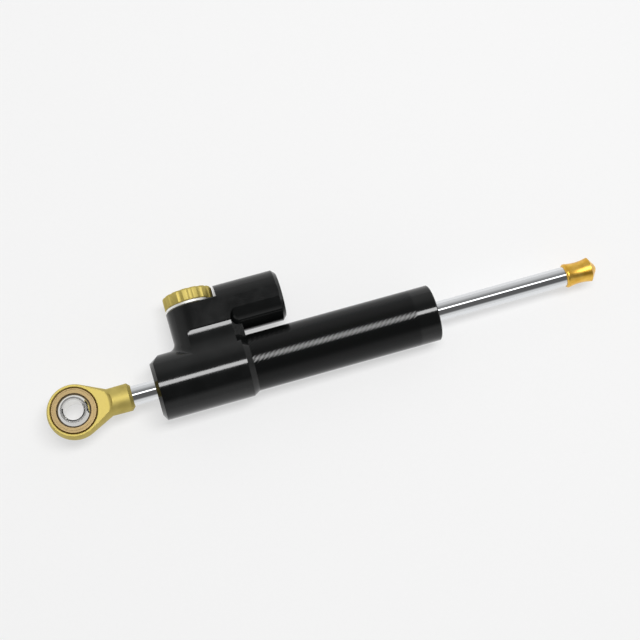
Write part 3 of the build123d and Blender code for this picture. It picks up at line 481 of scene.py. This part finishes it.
rubber, tree = surface("moulded nitrile rubber, oiled")
place = add(tree, "ShaderNodeTexCoord")
bloom = add(tree, "ShaderNodeTexNoise", links={"Vector": place.outputs["Object"]},
            Scale=1 / (bloom_size * MM), Detail=4.0)
tone = add(tree, "ShaderNodeValToRGB", links={"Fac": bloom.outputs[0]},
           stops=((0.4, rubber_tone), (0.7, rubber_bloom)))
grain = add(tree, "ShaderNodeTexNoise", links={"Vector": place.outputs["Object"]},
            Scale=1 / (mould_grain * MM), Detail=2.0)
bump = add(tree, "ShaderNodeBump", links={"Height": grain.outputs[0]},
           Strength=0.5, Distance=mould_depth * MM)
face = add(tree, "ShaderNodeBsdfPrincipled",
           links={"Base Color": tone.outputs[0], "Normal": bump.outputs[0]},
           Roughness=0.42, IOR=1.52)
add(tree, "ShaderNodeOutputMaterial", links={"Surface": face.outputs[0]})
dress(rubber, "front_rod_seal", "rear_rod_seal", "front_wiper", "rear_wiper",
      "front_guide_o_ring", "rear_guide_o_ring", "tube_o_ring")

# Retaining rings: blanked from spring steel strip and blued by heat treatment, a dark slate grey
# with the rolling direction still in it.
spring_tone = "6E7075"
spring_dark = "3A3B40"
rolling = 0.2
roll_stretch = 8.0
spring_smooth = 0.28
spring_rough = 0.4

strip, tree = surface("heat blued spring steel")
place = add(tree, "ShaderNodeTexCoord")
stretch = add(tree, "ShaderNodeMapping", links={"Vector": place.outputs["Object"]},
              Scale=(1.0, roll_stretch, 1.0))
streaks = add(tree, "ShaderNodeTexNoise", links={"Vector": stretch.outputs[0]},
              Scale=1 / (roll_stretch * rolling * MM), Detail=4.0)
tone = add(tree, "ShaderNodeValToRGB", links={"Fac": streaks.outputs[0]},
           stops=((0.3, spring_dark), (0.7, spring_tone)))
polish = add(tree, "ShaderNodeMapRange", links={"Value": streaks.outputs[0]},
             From_Min=noise_low, From_Max=noise_high,
             To_Min=spring_smooth, To_Max=spring_rough)
face = add(tree, "ShaderNodeBsdfPrincipled",
           links={"Base Color": tone.outputs[0], "Roughness": polish.outputs[0]}, Metallic=1.0)
add(tree, "ShaderNodeOutputMaterial", links={"Surface": face.outputs[0]})
dress(strip, "front_circlip", "rear_circlip", "piston_circlips", "relief_circlip")

# Piston: turned aluminium like the guides, held on the rod by two rings. Its guide band is cut
# from bronze filled plastic strip, brown and faintly speckled.
band_tone = "5E4A33"
band_speck = "7C6446"
speck_size = 0.4

dress(plain, "piston")

filled, tree = surface("bronze filled plastic band")
place = add(tree, "ShaderNodeTexCoord")
specks = add(tree, "ShaderNodeTexNoise", links={"Vector": place.outputs["Object"]},
             Scale=1 / (speck_size * MM), Detail=3.0)
tone = add(tree, "ShaderNodeValToRGB", links={"Fac": specks.outputs[0]},
           stops=((0.45, band_tone), (0.65, band_speck)))
face = add(tree, "ShaderNodeBsdfPrincipled", links={"Base Color": tone.outputs[0]},
           Roughness=0.5, IOR=1.38)
add(tree, "ShaderNodeOutputMaterial", links={"Surface": face.outputs[0]})
dress(filled, "piston_band")

# End cap: a small waisted nut on the rod's free end, turned and brightly polished aluminium under
# a deep orange gold dye. Lathe rings show in its highlight.
cap_light = "F4C860"
cap_dark = "E0AC40"
cap_turning = 0.5
cap_turning_depth = 0.002
cap_cloud = 3.0

amber, tree = surface("orange gold anodised aluminium, turned")
place = add(tree, "ShaderNodeTexCoord")
rings = add(tree, "ShaderNodeTexWave", links={"Vector": place.outputs["Object"]},
            bands_direction="X", Scale=wave_scale(cap_turning), Distortion=1.0,
            Detail=2.0)
bump = add(tree, "ShaderNodeBump", links={"Height": rings.outputs["Fac"]},
           Strength=1.0, Distance=cap_turning_depth * MM)
cloud = add(tree, "ShaderNodeTexNoise", links={"Vector": place.outputs["Object"]},
            Scale=1 / (cap_cloud * MM), Detail=3.0)
tone = add(tree, "ShaderNodeValToRGB", links={"Fac": cloud.outputs[0]},
           stops=((0.3, cap_dark), (0.7, cap_light)))
face = add(tree, "ShaderNodeBsdfPrincipled",
           links={"Base Color": tone.outputs[0], "Normal": bump.outputs[0]},
           Metallic=1.0, Roughness=0.33)
add(tree, "ShaderNodeOutputMaterial", links={"Surface": face.outputs[0]})
dress(amber, "end_cap")

# Adjuster valve: a steel spindle with a collar, an aluminium gland that holds it in, and the
# spring and ball that click under the index ring. Zinc plating makes the steel a pale silver
# with a faint warm spangle.
zinc_tone = "C9CBCD"
zinc_warm = "BDB7A6"
spangle_size = 0.8
zinc_smooth = 0.24
zinc_rough = 0.36

zinc, tree = surface("zinc plated steel")
place = add(tree, "ShaderNodeTexCoord")
spangle = add(tree, "ShaderNodeTexNoise", links={"Vector": place.outputs["Object"]},
              Scale=1 / (spangle_size * MM), Detail=4.0)
tone = add(tree, "ShaderNodeValToRGB", links={"Fac": spangle.outputs[0]},
           stops=((0.35, zinc_warm), (0.65, zinc_tone)))
polish = add(tree, "ShaderNodeMapRange", links={"Value": spangle.outputs[0]},
             From_Min=noise_low, From_Max=noise_high,
             To_Min=zinc_smooth, To_Max=zinc_rough)
face = add(tree, "ShaderNodeBsdfPrincipled",
           links={"Base Color": tone.outputs[0], "Roughness": polish.outputs[0]}, Metallic=1.0)
add(tree, "ShaderNodeOutputMaterial", links={"Surface": face.outputs[0]})
dress(zinc, "adjuster_spindle")
dress(plain, "adjuster_gland")
dress(rubber, "spindle_o_rings", "gland_o_ring")
dress(polished, "detent_ball")
dress(strip, "detent_spring")

# Index ring: a thin washer of clear anodised aluminium under the knob, dimpled for the clicks.
# It is the palest part, silky, with fine rings from facing.
ring_tone = "F0F0EC"
facing = 0.3
facing_depth = 0.003
ring_mottle = 1.5
ring_smooth = 0.38
ring_rough = 0.5

silver, tree = surface("clear anodised aluminium")
place = add(tree, "ShaderNodeTexCoord")
lines = add(tree, "ShaderNodeTexWave", links={"Vector": place.outputs["Object"]},
            bands_direction="Y", Scale=wave_scale(facing), Distortion=0.5)
bump = add(tree, "ShaderNodeBump", links={"Height": lines.outputs["Fac"]},
           Strength=1.0, Distance=facing_depth * MM)
mottle = add(tree, "ShaderNodeTexNoise", links={"Vector": place.outputs["Object"]},
             Scale=1 / (ring_mottle * MM), Detail=3.0)
polish = add(tree, "ShaderNodeMapRange", links={"Value": mottle.outputs[0]},
             From_Min=noise_low, From_Max=noise_high,
             To_Min=ring_smooth, To_Max=ring_rough)
face = add(tree, "ShaderNodeBsdfPrincipled",
           links={"Roughness": polish.outputs[0], "Normal": bump.outputs[0]},
           Base_Color=linear(ring_tone), Metallic=1.0)
add(tree, "ShaderNodeOutputMaterial", links={"Surface": face.outputs[0]})
dress(silver, "index_ring")

# Knob: turned from aluminium bar, its rim cut with fifteen shallow flutes for the fingers, then
# blasted and dyed gold like the rod end. The outline of half its section is spun round the
# spindle, and each flute is the scoop of a cutter of 1.7 mm radius, 0.45 mm deep.
knob_thickness = 5.1
knob_edge = 0.8
knob_under_edge = 0.4
knob_hub_r = 5.2
knob_hole_r = 3.02
knob_flutes = 15
flute_r = 1.7
flute_depth = 0.45
flute_from = 0.82
flute_full = 0.88
screw_recess_r = 2.9
screw_recess_depth = 3.05
corner_r = 0.12
face_ring = 0.8
edge_steps = 6
knob_steps = 450
knob_seam = 0.002

knob_low, knob_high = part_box("adjuster_knob")
knob_x = (knob_low.x + knob_high.x) / 2 / MM
knob_r = (knob_high.z - knob_low.z) / 2 / MM
under = knob_low.y / MM
top = knob_high.y / MM
rim = top - knob_thickness
section = [(knob_hole_r, under), (knob_hub_r - corner_r, under), (knob_hub_r, under + corner_r),
           (knob_hub_r, rim), (knob_r - knob_under_edge - corner_r, rim),
           (knob_r - knob_under_edge / 2, rim + knob_under_edge / 3),
           (knob_r, rim + knob_under_edge + corner_r), (knob_r, top - knob_edge - corner_r)]
for i in range(edge_steps + 1):
    turn = math.radians(90 * i / edge_steps)
    section.append((knob_r - knob_edge * (1 - math.cos(turn)),
                    top - knob_edge * (1 - math.sin(turn))))
section += [(knob_r - knob_edge - corner_r, top), (knob_r * face_ring, top),
            (screw_recess_r + 2 * corner_r, top),
            (screw_recess_r + corner_r / 3, top - corner_r / 3),
            (screw_recess_r, top - 2 * corner_r), (screw_recess_r, top - screw_recess_depth),
            (knob_hole_r, top - screw_recess_depth), (knob_hole_r, under)]

outline = bpy.data.meshes.new("knob_section")
outline.from_pydata([(r * MM, y * MM, 0) for r, y in section],
                    [(i, i + 1) for i in range(len(section) - 1)], [])
blank = bpy.data.objects.new("knob_section", outline)
bpy.context.collection.objects.link(blank)

# The tree bends a flat sheet round the spindle: each row of it takes its radius and height from one
# point of the section. The flutes are cut where the row is near the rim, and fade in over the
# shares of the rim radius from flute_from to flute_full.
spin = bpy.data.node_groups.new("fluted knob", "GeometryNodeTree")
sockets = {}
for name, kind in (("Section", "NodeSocketGeometry"), ("Axis place", "NodeSocketVector"),
                   ("Steps", "NodeSocketInt"), ("Rim radius", "NodeSocketFloat"),
                   ("Flutes", "NodeSocketInt"), ("Cutter radius", "NodeSocketFloat"),
                   ("Flute depth", "NodeSocketFloat"), ("Finish", "NodeSocketMaterial")):
    sockets[name] = spin.interface.new_socket(name, in_out="INPUT", socket_type=kind).identifier
spin.interface.new_socket("Knob", in_out="OUTPUT", socket_type="NodeSocketGeometry")
given = add(spin, "NodeGroupInput").outputs
points = add(spin, "GeometryNodeAttributeDomainSize", links={"Geometry": given["Section"]},
             component="MESH")
sheet = add(spin, "GeometryNodeMeshGrid",
            links={"Vertices X": points.outputs["Point Count"], "Vertices Y": given["Steps"]},
            Size_X=1.0, Size_Y=1.0)
index = add(spin, "GeometryNodeInputIndex")
row = add(spin, "ShaderNodeMath", links={0: index.outputs[0], 1: given["Steps"]},
          operation="DIVIDE")
whole_row = add(spin, "ShaderNodeMath", links={0: row.outputs[0]}, operation="FLOOR")
drawn = add(spin, "GeometryNodeInputPosition")
picked = add(spin, "GeometryNodeSampleIndex", data_type="FLOAT_VECTOR", domain="POINT",
             links={"Geometry": given["Section"], "Index": whole_row.outputs[0]})
spin.links.new(drawn.outputs[0], picked.inputs["Value"])
radius_height = add(spin, "ShaderNodeSeparateXYZ", links={0: picked.outputs[0]})
on_sheet = add(spin, "ShaderNodeSeparateXYZ", links={0: drawn.outputs[0]})
theta = add(spin, "ShaderNodeMath", links={0: on_sheet.outputs["Y"]},
            values={1: math.tau}, operation="MULTIPLY")
turns = add(spin, "ShaderNodeMath", links={0: on_sheet.outputs["Y"], 1: given["Flutes"]},
            operation="MULTIPLY")
part_turn = add(spin, "ShaderNodeMath", links={0: turns.outputs[0]}, operation="FRACT")
centred = add(spin, "ShaderNodeMath", links={0: part_turn.outputs[0]}, values={1: 0.5},
              operation="SUBTRACT")
pitch = add(spin, "ShaderNodeMath", links={0: given["Rim radius"], 1: given["Flutes"]},
            operation="DIVIDE")
arc = add(spin, "ShaderNodeMath", links={0: centred.outputs[0], 1: pitch.outputs[0]},
          operation="MULTIPLY")
offset = add(spin, "ShaderNodeMath", links={0: arc.outputs[0]}, values={1: math.tau},
             operation="MULTIPLY")
offset_square = add(spin, "ShaderNodeMath", links={0: offset.outputs[0], 1: offset.outputs[0]},
                    operation="MULTIPLY")
cutter_square = add(spin, "ShaderNodeMath",
                    links={0: given["Cutter radius"], 1: given["Cutter radius"]},
                    operation="MULTIPLY")
left = add(spin, "ShaderNodeMath",
           links={0: cutter_square.outputs[0], 1: offset_square.outputs[0]},
           operation="SUBTRACT")
inside = add(spin, "ShaderNodeMath", links={0: left.outputs[0]}, values={1: 0.0},
             operation="MAXIMUM")
chord = add(spin, "ShaderNodeMath", links={0: inside.outputs[0]}, operation="SQRT")
centre_out = add(spin, "ShaderNodeMath",
                 links={0: given["Cutter radius"], 1: given["Flute depth"]},
                 operation="SUBTRACT")
raw_cut = add(spin, "ShaderNodeMath", links={0: chord.outputs[0], 1: centre_out.outputs[0]},
              operation="SUBTRACT")
cut = add(spin, "ShaderNodeMath", links={0: raw_cut.outputs[0]}, values={1: 0.0},
          operation="MAXIMUM")
rim_share = add(spin, "ShaderNodeMath",
                links={0: radius_height.outputs["X"], 1: given["Rim radius"]}, operation="DIVIDE")
at_rim = add(spin, "ShaderNodeMapRange", links={"Value": rim_share.outputs[0]},
             From_Min=flute_from, From_Max=flute_full)
scoop = add(spin, "ShaderNodeMath", links={0: cut.outputs[0], 1: at_rim.outputs[0]},
            operation="MULTIPLY")
reach = add(spin, "ShaderNodeMath", links={0: radius_height.outputs["X"], 1: scoop.outputs[0]},
            operation="SUBTRACT")
cosine = add(spin, "ShaderNodeMath", links={0: theta.outputs[0]}, operation="COSINE")
sine = add(spin, "ShaderNodeMath", links={0: theta.outputs[0]}, operation="SINE")
east = add(spin, "ShaderNodeMath", links={0: reach.outputs[0], 1: cosine.outputs[0]},
           operation="MULTIPLY")
north = add(spin, "ShaderNodeMath", links={0: reach.outputs[0], 1: sine.outputs[0]},
            operation="MULTIPLY")
spot = add(spin, "ShaderNodeCombineXYZ", links={0: east.outputs[0],
                                                1: radius_height.outputs["Y"],
                                                2: north.outputs[0]})
moved = add(spin, "ShaderNodeVectorMath", links={0: spot.outputs[0], 1: given["Axis place"]},
            operation="ADD")
spun = add(spin, "GeometryNodeSetPosition",
           links={"Geometry": sheet.outputs["Mesh"], "Position": moved.outputs[0]})
closed = add(spin, "GeometryNodeMergeByDistance", links={"Geometry": spun.outputs[0]},
             Distance=knob_seam * MM)
smooth = add(spin, "GeometryNodeSetShadeSmooth", links={"Geometry": closed.outputs[0]})
real = add(spin, "GeometryNodeRealizeInstances", links={"Geometry": smooth.outputs[0]})
finished = add(spin, "GeometryNodeSetMaterial",
               links={"Geometry": real.outputs[0], "Material": given["Finish"]})
add(spin, "NodeGroupOutput", links={0: finished.outputs[0]})

modifier = blank.modifiers.new("fluted knob", "NODES")
modifier.node_group = spin
for name, value in (("Axis place", (knob_x * MM, 0.0, 0.0)), ("Steps", knob_steps + 1),
                    ("Rim radius", knob_r * MM), ("Flutes", knob_flutes),
                    ("Cutter radius", flute_r * MM), ("Flute depth", flute_depth * MM),
                    ("Finish", gold)):
    modifier[sockets[name]] = value
ready = blank.evaluated_get(bpy.context.evaluated_depsgraph_get())
knob_mesh = bpy.data.meshes.new_from_object(ready)
blank.modifiers.remove(modifier)
bpy.data.objects.remove(blank)
knob = bpy.data.objects.new("fluted_knob", knob_mesh)
bpy.context.collection.objects.link(knob)
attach(knob, "adjuster")
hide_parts("adjuster_knob")

# Knob screw: a small steel socket head screw that holds the knob on the spindle. Its black oxide
# is a thin dull film, worn to grey in patches.
oxide_tone = "2B2C2E"
oxide_worn = "55575A"
wear_size = 0.9

oxide, tree = surface("black oxide steel screw")
place = add(tree, "ShaderNodeTexCoord")
wear = add(tree, "ShaderNodeTexNoise", links={"Vector": place.outputs["Object"]},
           Scale=1 / (wear_size * MM), Detail=5.0)
tone = add(tree, "ShaderNodeValToRGB", links={"Fac": wear.outputs[0]},
           stops=((0.5, oxide_tone), (0.75, oxide_worn)))
face = add(tree, "ShaderNodeBsdfPrincipled", links={"Base Color": tone.outputs[0]},
           Metallic=0.9, Roughness=0.38)
add(tree, "ShaderNodeOutputMaterial", links={"Surface": face.outputs[0]})
dress(oxide, "knob_screw")

# Relief side: an aluminium piston on a steel spring in the side cylinder, closed by a black plug
# whose bleed screw sits on a copper washer, tarnished in patches. In the damper the spring shortens
# against the plug as the piston slides; here it is copied out as a piece of its own on the housing.
weld = 0.001
sharp_angle = math.radians(40)
copper_light = "C98A66"
copper_dark = "8E5638"
tarnish_size = 1.2

coil_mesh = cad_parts["relief_spring"].data.copy()
wire = bmesh.new()
wire.from_mesh(coil_mesh)
bmesh.ops.remove_doubles(wire, verts=wire.verts, dist=weld * MM)
wire.to_mesh(coil_mesh)
wire.free()
coil_mesh.shade_smooth()
coil_mesh.set_sharp_from_angle(angle=sharp_angle)
coil_mesh.materials.clear()
coil_mesh.materials.append(strip)
coil = bpy.data.objects.new("relief_coil", coil_mesh)
bpy.context.collection.objects.link(coil)
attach(coil, "housing")
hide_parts("relief_spring")
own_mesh(coil)
dress(plain, "relief_piston")
dress(rubber, "relief_piston_o_ring", "relief_plug_o_ring")
dress(skin, "relief_plug")
dress(zinc, "bleed_screw")

copper, tree = surface("annealed copper washer")
place = add(tree, "ShaderNodeTexCoord")
tarnish = add(tree, "ShaderNodeTexNoise", links={"Vector": place.outputs["Object"]},
              Scale=1 / (tarnish_size * MM), Detail=4.0)
tone = add(tree, "ShaderNodeValToRGB", links={"Fac": tarnish.outputs[0]},
           stops=((0.35, copper_dark), (0.65, copper_light)))
face = add(tree, "ShaderNodeBsdfPrincipled", links={"Base Color": tone.outputs[0]},
           Metallic=1.0, Roughness=0.4)
add(tree, "ShaderNodeOutputMaterial", links={"Surface": face.outputs[0]})
dress(copper, "bleed_washer")
